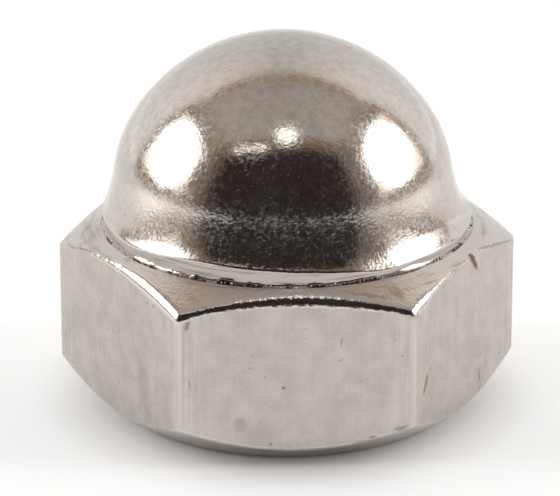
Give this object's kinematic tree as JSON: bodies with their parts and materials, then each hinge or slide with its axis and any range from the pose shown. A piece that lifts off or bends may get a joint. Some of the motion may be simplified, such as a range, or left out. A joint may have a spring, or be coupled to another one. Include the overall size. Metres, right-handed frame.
{
  "type": "cap nut",
  "caption": "Hexagonal cap nut with a domed closed end that covers the end of a screw; blind threaded hole from below.",
  "frame": {"origin": "centre of the bearing face, on the thread's axis", "axes": "+Z along the thread's axis from the bearing face to the top of the dome; two corners of the hexagon lie along X, and two flats face along Y"},
  "size_m": [0.015, 0.013, 0.0122],
  "materials": {
    "nickel_plate": "bright nickel plate: near mirror with fine grain on the dome, satin on the flats"
  },
  "bodies": {
    "root": {"cap_nut": "nickel_plate"}
  },
  "joints": []
}
